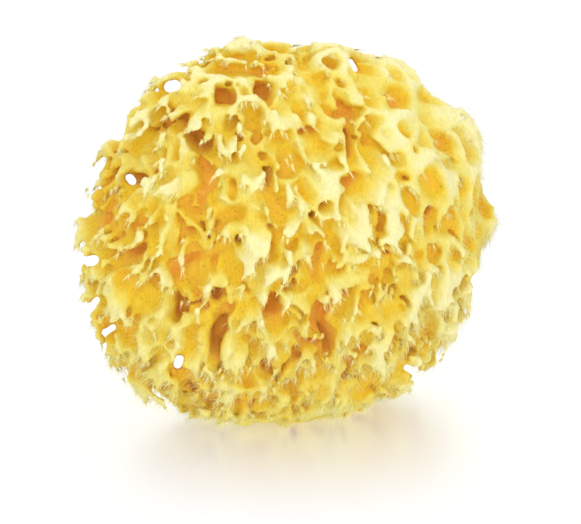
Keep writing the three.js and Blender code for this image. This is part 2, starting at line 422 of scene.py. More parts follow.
# ------------------------------
# The grid on which the body is worked out
# ------------------------------
class Grid:
    """A box of evenly spaced points around the ball, with its lowest layer two steps under the cut."""

    def __init__(self, step):
        self.step = step
        self.low = np.array([*GRID_LOW, -MIDDLE_HEIGHT - 2 * step])
        self.shape = tuple(np.ceil((np.array(GRID_HIGH) - self.low) / step).astype(int) + 1)
        self.axes = [
            (self.low[i] + step * np.arange(self.shape[i])).astype(np.float32) for i in range(3)
        ]

    def points(self):
        """The three coordinates, shaped so that they spread over the whole grid."""
        x, y, z = self.axes
        return x[:, None, None], y[None, :, None], z[None, None, :]

    def window(self, centre, reach):
        """The part of the grid within reach of the centre, as slices and as coordinates from it."""
        slices = []
        places = []
        for i in range(3):
            first = int(max(0, math.floor((centre[i] - reach[i] - self.low[i]) / self.step)))
            last = int(min(self.shape[i], math.ceil((centre[i] + reach[i] - self.low[i]) / self.step) + 1))
            slices.append(slice(first, max(first, last)))
            places.append(self.axes[i][slices[-1]] - np.float32(centre[i]))
        x, y, z = places
        return tuple(slices), (x[:, None, None], y[None, :, None], z[None, None, :])

    def sample(self, values, points):
        """Values of the grid at any points, blended from the eight points around each."""
        place = (points - self.low) / self.step
        place = np.clip(place, 0, np.array(self.shape) - 1.001)
        base = place.astype(int)
        part = place - base
        total = 0
        for corner in range(8):
            bits = [(corner >> i) & 1 for i in range(3)]
            weight = 1
            for i in range(3):
                weight = weight * (part[:, i] if bits[i] else 1 - part[:, i])
            total = total + weight * values[base[:, 0] + bits[0], base[:, 1] + bits[1], base[:, 2] + bits[2]]
        return total


def spline_weights(axis, spacing):
    """Weights that spread a coarse row of random numbers over an axis as a smooth cubic curve."""
    place = (axis - axis[0]) / spacing + 1
    count = int(np.ceil(place[-1])) + 3
    distance = np.abs(place[:, None] - np.arange(count)[None, :])
    inner = 2 / 3 - distance**2 + distance**3 / 2
    outer = np.clip(2 - distance, 0, None) ** 3 / 6
    return np.where(distance < 1, inner, outer).astype(np.float32)


def cloud(grid, spacing, rng):
    """Smooth random values of about -1 to 1 over the grid: random numbers on a coarse lattice with the
    given spacing across, in depth and up, blended by cubic curves along each direction in turn."""
    spacings = np.broadcast_to(spacing, 3)
    weights = [spline_weights(axis, gap) for axis, gap in zip(grid.axes, spacings)]
    lattice = rng.uniform(-1, 1, [w.shape[1] for w in weights]).astype(np.float32) * 2
    lattice = np.tensordot(weights[0], lattice, (1, 0))
    lattice = np.tensordot(lattice, weights[1], (1, 1)).transpose(0, 2, 1)
    return np.ascontiguousarray(np.tensordot(lattice, weights[2], (2, 1)))


def smooth_min(a, b, blend):
    """The smaller of two fields, rounded off over the blend width where they are nearly equal."""
    near = np.clip(blend - np.abs(a - b), 0, None) / np.maximum(blend, 1e-6)
    return np.minimum(a, b) - near * near * blend * 0.25


# ------------------------------
# Hollows: pits, channels and holes, all drawn as slanting round-ended slots
# ------------------------------
class Hollows:
    """A growing list of hollows: mouth point, inward axis, radius, depth, half-length vector and the
    width over which its edge is rounded off."""

    def __init__(self):
        self.mouth = np.zeros((0, 3))
        self.axis = np.zeros((0, 3))
        self.radius = np.zeros(0)
        self.depth = np.zeros(0)
        self.stretch = np.zeros((0, 3))
        self.blend = np.zeros(0)

    def add(self, mouth, axis, radius, depth, stretch, blend):
        """Adds hollows given as arrays. One value of depth, stretch or blend serves them all."""
        count = len(mouth)
        self.mouth = np.vstack([self.mouth, mouth])
        self.axis = np.vstack([self.axis, unit(axis)])
        self.radius = np.append(self.radius, np.broadcast_to(radius, count))
        self.depth = np.append(self.depth, np.broadcast_to(depth, count))
        self.stretch = np.vstack([self.stretch, np.broadcast_to(stretch, (count, 3))])
        self.blend = np.append(self.blend, np.broadcast_to(blend, count))

    def around(self, i, grid, warp, depth, margin):
        """The part of the grid near a hollow, with each point's way inwards along its axis and its
        distance from its drawn-out middle line. The warp bends a hollow so that it is no true circle,
        and a tunnel goes without it."""
        half = np.linalg.norm(self.stretch[i])
        middle = self.mouth[i] + self.axis[i] * (depth - 3) / 2
        reach = np.abs(self.axis[i]) * (depth + 5) / 2 + self.radius[i] + half + margin
        window, place = grid.window(middle, reach)
        if 0 in [c.size for c in place]:
            return None, None, None
        shift = (middle - self.mouth[i]).astype(np.float32)
        place = [c + part for c, part in zip(place, shift)]
        if warp is not None:
            place = [c + bend[window] for c, bend in zip(place, warp)]
        if half > 0:
            s = (self.stretch[i] / half).astype(np.float32)
            x, y, z = place
            along = np.clip(x * s[0] + y * s[1] + z * s[2], -half, half)
            place = [c - along * part for c, part in zip(place, s)]
        x, y, z = place
        a = self.axis[i].astype(np.float32)
        inwards = x * a[0] + y * a[1] + z * a[2]
        aside = np.sqrt(np.clip(x * x + y * y + z * z - inwards * inwards, 0, None))
        return window, inwards, aside

    def carve(self, field, grid, warp):
        """Lowers the field to the distance from the wall of each hollow, here a tube with a round end."""
        for i in range(len(self.radius)):
            radius, depth = self.radius[i], self.depth[i]
            window, inwards, aside = self.around(i, grid, warp, depth, 3.0)
            if window is None:
                continue
            end = np.clip(inwards - (depth - radius), 0, None)
            distance = np.sqrt(aside * aside + end * end) - radius
            field[window] = smooth_min(field[window], distance.astype(np.float32), np.float32(self.blend[i]))

    def cells(self, grid, warp):
        """How far each point lies outside the nearest hollow, the next one and the third, and the depth
        of the floor there, which is the mean of the hollows' depths weighted towards the nearest."""
        near = [np.full(grid.shape, 9, np.float32) for _ in range(3)]
        weight = np.full(grid.shape, 1e-4, np.float32)
        total = np.full(grid.shape, 6e-4, np.float32)
        for i in range(len(self.radius)):
            window, _, aside = self.around(i, grid, warp, CELL_REACH, 7.0)
            if window is None:
                continue
            gap = (aside - self.radius[i]).astype(np.float32)
            first, second, third = (part[window] for part in near)
            near[2][window] = np.minimum(third, np.maximum(second, gap))
            near[1][window] = np.minimum(second, np.maximum(first, gap))
            near[0][window] = np.minimum(first, gap)
            share = np.exp(-gap / 1.3)
            weight[window] += share
            total[window] += share * np.float32(self.depth[i])
        return near, total / weight


def tangent(normals, angle):
    """Directions along the skin at an angle to the level one, turning towards up."""
    level = unit(np.cross(UPWARD, normals))
    upward = unit(np.cross(normals, level))
    return np.cos(angle)[:, None] * level + np.sin(angle)[:, None] * upward


def slot_axis(normals, rise, sight_share):
    """The way a hollow runs in: straight in, turned upwards, and on the face turned along the sight line."""
    return unit(-normals + rise[:, None] * UPWARD + sight_share[:, None] * SIGHT)


def foot_share(height):
    """From 0 at the middle of the sponge to 1 near the cut underneath, where the pits stand upright."""
    return np.clip((5 - height) / 38, 0, 1)


def rooted(mouth):
    """The share of its depth that a pit keeps near the cut underneath, where the sponge is dense."""
    return np.clip((mouth[:, 2] + MIDDLE_HEIGHT - 1) / 12, 0.4, 1)


def face_hollows(pits, holes, shape):
    """The pits of the face, listed one by one. A pit's floor lies at 3.6 plus 0.8 of its radius, or as deep
    as listed if that is less. A deep one has a round hole in its floor. Low down, pits are drawn out
    upright, are shallower and climb less."""
    across, up, radius, depth, half, angle = np.array(FACE_HOLLOWS, float).T
    mouth = on_face(across, up)
    normals = unit(share_slope(mouth))
    smooth = smoothness(across, up)
    rise = shape.rise * (1 - 0.4 * smooth) * (1 - 0.6 * foot_share(up))
    facing = np.clip(-normals @ SIGHT, 0, 1)
    axis = slot_axis(normals, rise, 0.7 * (1 - facing))
    way = face_plane(np.cos(np.radians(angle)), np.sin(np.radians(angle)))
    way = unit(way - (way * normals).sum(1, keepdims=True) * normals)
    way *= np.where(way[:, 2] < 0, -1, 1)[:, None]
    upright = unit(SIGHT_UP - (normals @ SIGHT_UP)[:, None] * normals)
    stretch = way * half[:, None] + upright * (0.9 * radius * foot_share(up))[:, None]
    floor = np.minimum(depth, 3.6 + 0.8 * radius + 0.4 * np.clip(depth - 7, 0, None)) * (1 + 0.3 * smooth)
    floor = floor * rooted(mouth)
    pits.add(mouth, axis, radius, floor, stretch, 0.0)
    deep = depth > HOLE_FROM
    width = np.clip(0.8 * radius, 0.9, 2.8)
    start = mouth + axis * (floor - ABOVE_FLOOR)[:, None]
    holes.add(start[deep], (axis + 0.1 * UPWARD)[deep], width[deep],
              (np.minimum(depth, 13) - floor + ABOVE_FLOOR)[deep], stretch[deep] * 0.7, 0.7)


def see_through_holes(hollows):
    """Tunnels along the sight line near the edge of the face, open at both ends. A tunnel is a row of
    tubes, each a little wider than the one before."""
    across, up, radius, half, angle = np.array(SEE_THROUGH, float).T
    mouth = on_face(across * 0.985, up * 0.985)
    mouth = mouth + (across * 0.015)[:, None] * ACROSS + (up * 0.015)[:, None] * SIGHT_UP
    axis = unit(mouth + EYE_DISTANCE * SIGHT)
    way = face_plane(np.cos(np.radians(angle)), np.sin(np.radians(angle)))
    for stage in range(TUNNEL_STAGES):
        start = mouth + (TUNNEL_STEP * stage - 4) * axis
        hollows.add(start, axis, radius * (1 + TUNNEL_WIDENING * stage), 20.0, way * half[:, None], 0.3)



def fill_hollows(pits, holes, shape, rng):
    """Pits that fill the rest of the skin. Seeded points on the skin are tried one after another, and a
    point takes a pit as wide as the room between the pits already there allows."""
    height = rng.uniform(-1, 1, PIT_TRIES)
    turn = rng.uniform(0, 2 * math.pi, PIT_TRIES)
    ring = np.sqrt(1 - height * height)
    u = np.stack([ring * np.cos(turn), ring * np.sin(turn), height], 1)
    spots = skin_points(u)
    normals = unit(share_slope(spots))
    kept = spots[:, 2] > -MIDDLE_HEIGHT - 1
    spots, normals = spots[kept], normals[kept]
    smooth = smoothness(spots[:, 0], spots[:, 2])
    widest = shape.pit_radius / MM * rng.uniform(0.7, 1.15, len(spots)) * (1 + 0.25 * smooth)
    wall = rng.uniform(1.4, 3.0, len(spots)) + 0.8 * smooth
    least = np.where(normals @ SIGHT < -0.35, 2.6, 1.9)
    half = np.linalg.norm(pits.stretch, axis=1)
    ends = np.vstack([pits.mouth - pits.stretch, pits.mouth, pits.mouth + pits.stretch])
    taken = np.zeros((len(spots) + len(ends), 4))
    taken[: len(ends), :3] = ends
    taken[: len(ends), 3] = np.concatenate([pits.radius + half * 0.25] * 3)
    count = len(ends)
    chosen = []
    widths = []
    for i in range(len(spots)):
        gap = (np.linalg.norm(taken[:count, :3] - spots[i], axis=1) - taken[:count, 3]).min() - wall[i]
        if gap > least[i]:
            width = min(gap, widest[i])
            chosen.append(i)
            widths.append(width)
            taken[count] = (*spots[i], width)
            count += 1
    chosen = np.array(chosen)
    radius = np.array(widths)
    mouth, normals, smooth = spots[chosen], normals[chosen], smooth[chosen]
    foot = foot_share(mouth[:, 2])
    rise = shape.rise * rng.uniform(0.7, 1.3, len(chosen)) * (1 - 0.4 * smooth) * (1 - 0.6 * foot)
    front = np.clip(-normals @ SIGHT, 0, 1)
    sight_share = np.where(normals @ SIGHT < 0.1, 0.5 * (1 - front), 0)
    axis = slot_axis(normals, rise, sight_share)
    angle = math.pi / 2 + rng.normal(0, 0.7, len(chosen)) * (1 - 0.5 * foot)
    half = radius * (rng.uniform(0, 0.8, len(chosen)) + 0.8 * foot)
    stretch = tangent(normals, angle) * half[:, None]
    deep = rng.uniform(0, 1, len(chosen)) < 0.35 - 0.15 * smooth
    deep &= radius > LEAST_HOLED_PIT
    floor = 3.4 + radius * rng.uniform(0.6, 1.2, len(chosen)) + 2 * deep
    floor = floor * (1 + 0.3 * smooth) * rooted(mouth)
    pits.add(mouth, axis, radius, floor, stretch, 0.0)
    start = mouth + axis * (floor - ABOVE_FLOOR)[:, None]
    holes.add(start[deep], axis[deep] + 0.1 * UPWARD, 0.7 * radius[deep],
              rng.uniform(*HOLE_DEPTHS, deep.sum()), stretch[deep] * 0.6, 0.7)


def spread_out(points, gap):
    """One point for each cell of a cubic mesh of this size that holds any."""
    cell = np.floor(points / gap).astype(np.int64)
    keys = (cell[:, 0] * 4096 + cell[:, 1]) * 4096 + cell[:, 2]
    _, first = np.unique(keys, return_index=True)
    return points[np.sort(first)]


def rim_points(grid, roof, hollow, inner, outer, rng):
    """Points on the top edges of the walls, in a random order: where the depth under a wall's top is
    about nought, and the field of the walls lies between the inner and the outer value."""
    edge = (np.abs(roof - 0.3) < 0.6) & (hollow > inner) & (hollow < outer)
    places = np.argwhere(edge)
    places = places[rng.permutation(len(places))]
    points = grid.low + places * grid.step
    return points[points[:, 2] > -MIDDLE_HEIGHT + 5]


def rim_bites(grid, roof, hollow, shape, rng):
    """Small steep bites along the plates' edges, which leave jagged cusps between them."""
    spots = spread_out(rim_points(grid, roof, hollow, -0.3, 0.5, rng), BITE_GAP)
    normals = unit(share_slope(spots))
    smooth = smoothness(spots[:, 0], spots[:, 2])
    kept = rng.uniform(0, 1, len(spots)) > 0.3 + 0.65 * smooth
    spots, normals = spots[kept], normals[kept]
    bites = Hollows()
    rise = np.full(len(spots), shape.rise)
    axis = slot_axis(normals, rise, np.zeros(len(spots)))
    bites.add(spots - 1.5 * axis, axis, rng.uniform(*BITE_RADII, len(spots)),
              rng.uniform(*BITE_DEPTHS, len(spots)), np.zeros(3), 0.15)
    return bites


def comb(points, normals):
    """The way the tips are combed: downwards and outwards, fanning away from the middle of the face."""
    fan = np.stack([0.012 * points[:, 0], np.zeros(len(points)), np.full(len(points), -1.0)], 1)
    fan = fan - (fan * normals).sum(1, keepdims=True) * normals
    return unit(fan)


def add_tips(field, hollow, roof, grid, shape, rng):
    """Jagged tips: seeded cones that grow out of the plates' lower edges and hang over the hollow below.
    A cone's field is its radius, which tapers along its length, less the distance from its axis. It
    gives the places of the tips' ends and the ways they point."""
    points = spread_out(rim_points(grid, roof, hollow, 0.1, 1.1, rng), TIP_GAP)
    normals = unit(share_slope(points))
    down = comb(points, normals)
    slope = np.empty_like(points)
    for axis in range(3):
        offset = np.zeros(3)
        offset[axis] = 0.8
        slope[:, axis] = grid.sample(hollow, points - offset) - grid.sample(hollow, points + offset)
    slope = unit(slope - (slope * normals).sum(1, keepdims=True) * normals)
    hang = (slope * down).sum(1)
    smooth = smoothness(points[:, 0], points[:, 2])
    foot = np.clip((-points[:, 2] - 18) / 25, 0, 1)
    wish = np.clip(0.25 + 0.75 * hang + 0.3 * foot, 0.02, 1) * (1 - 0.8 * smooth)
    kept = np.flatnonzero(rng.uniform(0, 1, len(points)) < wish)
    kept = kept[rng.permutation(len(kept))[: shape.tips]]
    points, normals, down, slope, foot = points[kept], normals[kept], down[kept], slope[kept], foot[kept]
    way = unit(0.15 * normals + 0.9 * down + 0.7 * slope + rng.normal(0, 0.22, points.shape))
    length = rng.uniform(*TIP_LENGTHS, len(points)) * (1 + 0.4 * foot)
    thick = rng.uniform(*TIP_RADII, len(points))
    for p, w, l, r in zip(points, way, length, thick):
        middle = p + w * l / 2
        window, (x, y, z) = grid.window(middle, np.abs(w) * l / 2 + 2.2)
        x = x + np.float32(w[0] * l / 2)
        y = y + np.float32(w[1] * l / 2)
        z = z + np.float32(w[2] * l / 2)
        along = x * w[0] + y * w[1] + z * w[2]
        held = np.clip(along, -0.8, l)
        aside = np.sqrt((x - held * w[0]) ** 2 + (y - held * w[1]) ** 2 + (z - held * w[2]) ** 2)
        cone = r * (1 - TIP_TAPER * np.clip(held, 0, l) / l) - aside
        field[window] = -smooth_min(-field[window], -cone.astype(np.float32), np.float32(0.5))
    return points + way * (0.55 * length)[:, None], way


# ------------------------------
# From the field to a mesh
# ------------------------------
def surface(field, grid):
    """Vertices and triangles where the field passes zero. Each box of the grid that the surface crosses
    takes one vertex, at the mean of the crossings on its edges, and each crossed edge takes a square
    between the four boxes round it, facing from the solid to the air."""
    solid = field > 0
    crossed = np.zeros(tuple(n - 1 for n in field.shape), bool)
    edges = []
    for axis in range(3):
        low = [slice(None)] * 3
        high = [slice(None)] * 3
        low[axis] = slice(0, -1)
        high[axis] = slice(1, None)
        change = solid[tuple(low)] != solid[tuple(high)]
        others = [a for a in range(3) if a != axis]
        inner = [slice(None)] * 3
        for a in others:
            inner[a] = slice(1, -1)
        trimmed = change[tuple(inner)]
        place = np.argwhere(trimmed).astype(np.int32)
        for a in others:
            place[:, a] += 1
        edges.append(place)
        for b in (0, 1):
            for c in (0, 1):
                around = place.copy()
                around[:, others[0]] -= b
                around[:, others[1]] -= c
                crossed[tuple(around.T)] = True
    number = np.full(crossed.shape, -1, np.int32)
    count = int(crossed.sum())
    number[crossed] = np.arange(count, dtype=np.int32)
    total = np.zeros((count, 3))
    weight = np.zeros(count)
    squares = []
    for axis in range(3):
        place = edges[axis]
        others = [a for a in range(3) if a != axis]
        ahead = place.copy()
        ahead[:, axis] += 1
        f0 = field[tuple(place.T)].astype(float)
        f1 = field[tuple(ahead.T)].astype(float)
        point = place.astype(float)
        point[:, axis] += f0 / (f0 - f1)
        corners = []
        for b, c in ((0, 0), (1, 0), (1, 1), (0, 1)):
            around = place.copy()
            around[:, others[0]] -= b
            around[:, others[1]] -= c
            corner = number[tuple(around.T)]
            corners.append(corner)
            weight += np.bincount(corner, minlength=count)
            for k in range(3):
                total[:, k] += np.bincount(corner, weights=point[:, k], minlength=count)
        square = np.stack(corners, 1)
        # The order of corners turns about +axis for the x and z axes and about -axis for the y axis.
        outwards = (f0 > 0) != (axis == 1)
        square = np.where(outwards[:, None], square, square[:, ::-1])
        squares.append(square)
    vertices = total / weight[:, None] * grid.step + grid.low
    return vertices, np.vstack(squares)



def largest_part(vertices, squares):
    """Keeps the largest connected part. Each vertex takes the lowest number among its neighbours, and
    then that one's number, until nothing changes."""
    label = np.arange(len(vertices))
    a = squares[:, [0, 1, 2, 3]].ravel()
    b = squares[:, [1, 2, 3, 0]].ravel()
    while True:
        low = np.minimum(label[a], label[b])
        fresh = label.copy()
        np.minimum.at(fresh, label[a], low)
        np.minimum.at(fresh, label[b], low)
        fresh = fresh[fresh]
        fresh = fresh[fresh]
        if np.array_equal(fresh, label):
            break
        label = fresh
    kept = label == np.bincount(label).argmax()
    number = np.cumsum(kept) - 1
    squares = number[squares[kept[squares[:, 0]]]]
    return vertices[kept], squares


def to_frame(points):
    """Points around the ball's middle, in millimetres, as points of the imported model's frame in metres:
    the ball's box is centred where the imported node's box is, over the same flat cut."""
    i = np.arange(40000) + 0.5
    height = 1 - i / 20000
    ring = np.sqrt(1 - height * height)
    skin = skin_points(np.stack([ring * np.cos(i * GOLDEN_TURN), ring * np.sin(i * GOLDEN_TURN), height], 1))
    skin = skin[skin[:, 2] > -MIDDLE_HEIGHT]
    low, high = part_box(NODE)
    middle = (np.array(low) + np.array(high)) / 2
    offset = middle - MM * (skin.min(0) + skin.max(0)) / 2
    offset[2] = low[2] + MM * MIDDLE_HEIGHT
    return points * MM + offset


def new_mesh_object(name, vertices, faces):
    """An object at the origin whose mesh holds the vertices, in metres, and faces of one size."""
    mesh = bpy.data.meshes.new(name)
    corners = faces.shape[1]
    mesh.vertices.add(len(vertices))
    mesh.vertices.foreach_set("co", np.asarray(vertices, np.float32).ravel())
    mesh.loops.add(faces.size)
    mesh.loops.foreach_set("vertex_index", np.asarray(faces, np.int32).ravel())
    mesh.polygons.add(len(faces))
    mesh.polygons.foreach_set("loop_start", np.arange(0, faces.size, corners, dtype=np.int32))
    mesh.update(calc_edges=True)
    mesh.validate()
    mesh.shade_smooth()
    obj = bpy.data.objects.new(name, mesh)
    bpy.context.scene.collection.objects.link(obj)
    return obj


def apply_modifiers(obj):
    """Puts the result of the object's modifiers into its mesh and removes them."""
    bpy.context.view_layer.update()
    shown = obj.evaluated_get(bpy.context.evaluated_depsgraph_get())
    applied = bpy.data.meshes.new_from_object(shown)
    obj.modifiers.clear()
    old = obj.data
    obj.data = applied
    bpy.data.meshes.remove(old)
    applied.name = obj.name



def coordinates(mesh):
    """The mesh's vertices as an array."""
    co = np.empty(len(mesh.vertices) * 3, np.float32)
    mesh.vertices.foreach_get("co", co)
    return co.reshape(-1, 3).astype(float)


def normals_of(mesh):
    """The mesh's vertex normals as an array."""
    no = np.empty(len(mesh.vertices) * 3, np.float32)
    mesh.vertex_normals.foreach_get("vector", no)
    return no.reshape(-1, 3).astype(float)


def set_attribute(mesh, name, values):
    """Stores one number for each vertex under a name that a material can read."""
    attribute = mesh.attributes.new(name, "FLOAT", "POINT")
    attribute.data.foreach_set("value", np.asarray(values, np.float32))


def box_blur(values, reach):
    """The mean of the values over a box that reaches this many steps each way, by running sums."""
    out = values.astype(np.float32)
    for axis in range(3):
        padded = np.concatenate([np.take(out, [0] * (reach + 1), axis), out,
                                 np.take(out, [-1] * reach, axis)], axis)
        running = np.cumsum(padded, axis, dtype=np.float64)
        count = out.shape[axis]
        ahead = np.take(running, np.arange(2 * reach + 1, 2 * reach + 1 + count), axis)
        behind = np.take(running, np.arange(0, count), axis)
        out = ((ahead - behind) / (2 * reach + 1)).astype(np.float32)
    return out


# What the body leaves for the fibres, around the middle of the ball: its vertices with their normals,
# depths and tones, whether they are clear of the tunnels, and the tips' ends and ways.
made = {}


def ridges(grid, depth, pits, shape, rng, warp):
    """The walls between the pits. Half the difference between the distances to the nearest pit and to
    the next one is the way to the wall's middle. A wall is thicker where the pits leave it room. Its
    top sinks and rises along its length, and is highest where three walls meet. From the top down, it
    draws in a little under the lip and then widens to the floor. It gives the solid field, the depth
    under the wall's own top and the field of the walls alone."""
    x, _, z = grid.points()
    smooth = smoothness(x, z).astype(np.float32)
    near, floor = pits.cells(grid, warp)
    ragged = cloud(grid, 1.5, rng)
    from_middle = (near[1] - near[0]) / 2
    corner = 1 - np.clip((near[2] - near[0]) / 5, 0, 1)
    room = np.clip(near[0], 0, 3)
    del near
    sag = 0.6 + 0.9 * cloud(grid, (3.8, 4.6, 7.0), rng) + 0.7 * cloud(grid, 13.0, rng)
    sag = sag - 0.4 * corner - 0.12 * room
    sag = np.clip(sag, 0, 1)
    sag = sag * sag * (3 - 2 * sag)
    swell = cloud(grid, 8.0, rng) + 0.5
    top = shape.plate_drop / MM + shape.relief / MM * (sag + (0.95 * swell - sag) * smooth) + 0.45 * ragged
    del sag, swell
    under = depth - top
    lip = LIP_DRAW * np.sin(math.pi * np.clip(under / LIP_DEPTH, 0, 1)) * (1 - smooth)
    thick = shape.wall / MM / 2 + 0.65 * room + 0.3 * corner + 0.3 * smooth
    thick = thick + (0.45 + 0.1 * smooth) * np.clip(under - 1.0, 0, None)
    wall = thick - lip + 0.75 * cloud(grid, 2.6, rng) + 0.5 * ragged - from_middle
    del thick, lip, from_middle, corner
    crest = smooth_min(under, wall, CREST_ROUNDING + SMOOTH_ROUNDING * smooth)
    bottom = depth - floor - 0.6 * cloud(grid, 4.0, rng) - 0.12 * ragged
    field = -smooth_min(-crest, -bottom, np.float32(FLOOR_ROUNDING))
    return field, under, wall


def grow_body(shape):
    """The sponge's body, as a field that is positive in solid sponge: the walls and floors of the pits,
    then bites and tips along the walls' tops, then the holes, and last the cut underneath."""
    rng = np.random.default_rng(shape.seed)
    step = shape.step / MM * 1
    grid = Grid(step)
    x, y, z = grid.points()
    share = ball_share(x + 0 * y + 0 * z, y + 0 * x + 0 * z, z + 0 * x + 0 * y).astype(np.float32)
    slopes = np.gradient(share, step)
    steepness = np.sqrt(slopes[0] ** 2 + slopes[1] ** 2 + slopes[2] ** 2)
    del slopes
    depth = (1 - share) / np.maximum(steepness, 0.008)
    del share, steepness
    warp = [2.8 * cloud(grid, 5.5, rng) + 1.2 * cloud(grid, 2.4, rng) for _ in range(3)]
    pits = Hollows()
    holes = Hollows()
    face_hollows(pits, holes, shape)
    fill_hollows(pits, holes, shape, rng)
    tunnels = Hollows()
    see_through_holes(tunnels)
    field, under, wall = ridges(grid, depth, pits, shape, rng, warp)
    bites = rim_bites(grid, under, wall, shape, rng)
    bitten = np.full(grid.shape, FAR_OUT, np.float32)
    bites.carve(bitten, grid, warp)
    field = smooth_min(field, bitten, np.float32(0.2))
    ends, ways = add_tips(field, np.minimum(wall, bitten), under, grid, shape, rng)
    del bitten, wall
    holes.carve(field, grid, warp)
    open_way = np.full(grid.shape, FAR_OUT, np.float32)
    tunnels.carve(open_way, grid, None)
    field = smooth_min(field, open_way, np.float32(0.3))
    field = box_blur(field, 1)
    ragged_foot = 1.2 * np.clip(cloud(grid, 3.2, rng) + 0.3, 0, 1)
    field = np.minimum(field, (z + np.float32(MIDDLE_HEIGHT)) - ragged_foot)
    field[:, :, :2] = np.minimum(field[:, :, :2], -0.5 * step)
    kept = grid.sample(open_way, ends) > CLEAR_OF_TUNNELS
    return grid, field, depth, under, open_way, ends[kept], ways[kept]


def soften(mesh, values, smooth):
    """Values spread over the mesh: again and again, each vertex takes the mean of its own value and the
    mean of its neighbours'. The first of them stay in it by a quarter, or none on the smooth part."""
    ends = np.empty(2 * len(mesh.edges), np.int32)
    mesh.edges.foreach_get("vertices", ends)
    a, b = ends[0::2], ends[1::2]
    count = len(values)
    met = np.maximum(np.bincount(a, minlength=count) + np.bincount(b, minlength=count), 1)
    soft = values.copy()
    for _ in range(SOFTENING_ROUNDS):
        total = np.bincount(a, soft[b], count) + np.bincount(b, soft[a], count)
        soft = 0.5 * soft + 0.5 * total / met
    return soft + 0.25 * (1 - smooth) * (values - soft)


def body_object(shape):
    """The body's mesh, thinned to the number of triangles allowed. Its tone, a painted shade, is stored on
    it: how deep a vertex lies, plus how much of a small box and of a large box just off the skin is solid."""
    grid, field, depth, under, open_way, ends, ways = grow_body(shape)
    vertices, squares = largest_part(*surface(field, grid))
    vertices = to_frame(vertices)
    vertices[:, 2] = np.maximum(vertices[:, 2], 0)
    body = new_mesh_object("sponge_body", vertices, squares)
    triangles = 2 * len(squares)
    if triangles > shape.body_faces:
        thin = body.modifiers.new("Thin out", "DECIMATE")
        thin.ratio = shape.body_faces / triangles
        apply_modifiers(body)
        body.data.shade_smooth()
    offset = to_frame(np.zeros((1, 3)))[0]
    co = coordinates(body.data)
    co[:, 2] = np.maximum(co[:, 2], 0)
    body.data.vertices.foreach_set("co", co.astype(np.float32).ravel())
    body.data.update()
    points = (co - offset) / MM
    normals = normals_of(body.data)
    # Painted shade: the tone grows with depth and with how closed in a place is, and the material turns it
    # from cream into golden and orange brown, in place of the shade and warm bounce light of the hollows.
    sunk = 0.4 * grid.sample(depth, points) + 0.6 * grid.sample(under, points)
    near, far = (
        grid.sample(box_blur(field > 0, max(1, round(reach / grid.step))), points + normals * off)
        for reach, off in ((NEAR_REACH, 1.6), (FAR_REACH, 2.6))
    )
    shade = 0.3 * near + 0.7 * np.clip(far - 0.1, 0, None)
    x, _, z = points.T
    smooth = smoothness(x, z)
    tone = soften(body.data, (sunk + 10 * shade) * (1 + 0.35 * smooth), smooth)
    # The left and the lower parts are a little more golden, painted shade on the sides turned from the
    # light, and the foot again.
    tone += 0.35 - 0.023 * x - 0.024 * z + 0.9 * np.clip((-z - 5) / 45, 0, 1)
    set_attribute(body.data, "tone", tone)
    clear = grid.sample(open_way, points) > CLEAR_OF_TUNNELS
    made.update(points=points, normals=normals, sunk=sunk, tone=tone, clear=clear, offset=offset,
                ends=ends, ways=ways)
    return body


# ------------------------------
# Fibres
# ------------------------------
def ringed(spine, side, other, radii, shrink, sides, oval=1.0):
    """Rings of corners round each spine. A corner lies off the spine by the cosine of its angle along one
    side and its sine along the other, which the oval's share flattens, times the radius there."""
    angle = np.arange(sides) * 2 * math.pi / sides
    ring = (np.cos(angle)[None, :, None] * side[:, None, :]
            + oval * np.sin(angle)[None, :, None] * other[:, None, :])
    width = radii[:, None] * shrink
    return spine[:, : len(shrink), None, :] + width[:, :, None, None] * ring[:, None, :, :]


def hairs(name, roots, ways, bends, lengths, radii, tones, skins, sides=3, rings=4):
    """Many fibres as one mesh. A fibre's middle runs along its way, bends aside with the square of the
    distance and sways once from side to side. Rings of a few corners round it shrink towards a point at
    the tip, and the root is closed by the ring's own face."""
    t = np.linspace(0, 1, rings + 1)
    side = unit(np.cross(ways, np.array([0.31, 0.17, 0.93])))
    sway = 0.09 * np.sin(2 * math.pi * t) * np.linspace(0.4, 1, rings + 1)
    spine = (roots[:, None, :] + lengths[:, None, None] * (t[None, :, None] * ways[:, None, :]
             + (t * t)[None, :, None] * bends[:, None, :] + sway[None, :, None] * side[:, None, :]))
    tube = ringed(spine, side, np.cross(ways, side), radii, 1 - 0.75 * t[:rings], sides)
    return joined_tubes(name, tube, spine[:, rings:, :], t, tones, skins, 0.45)



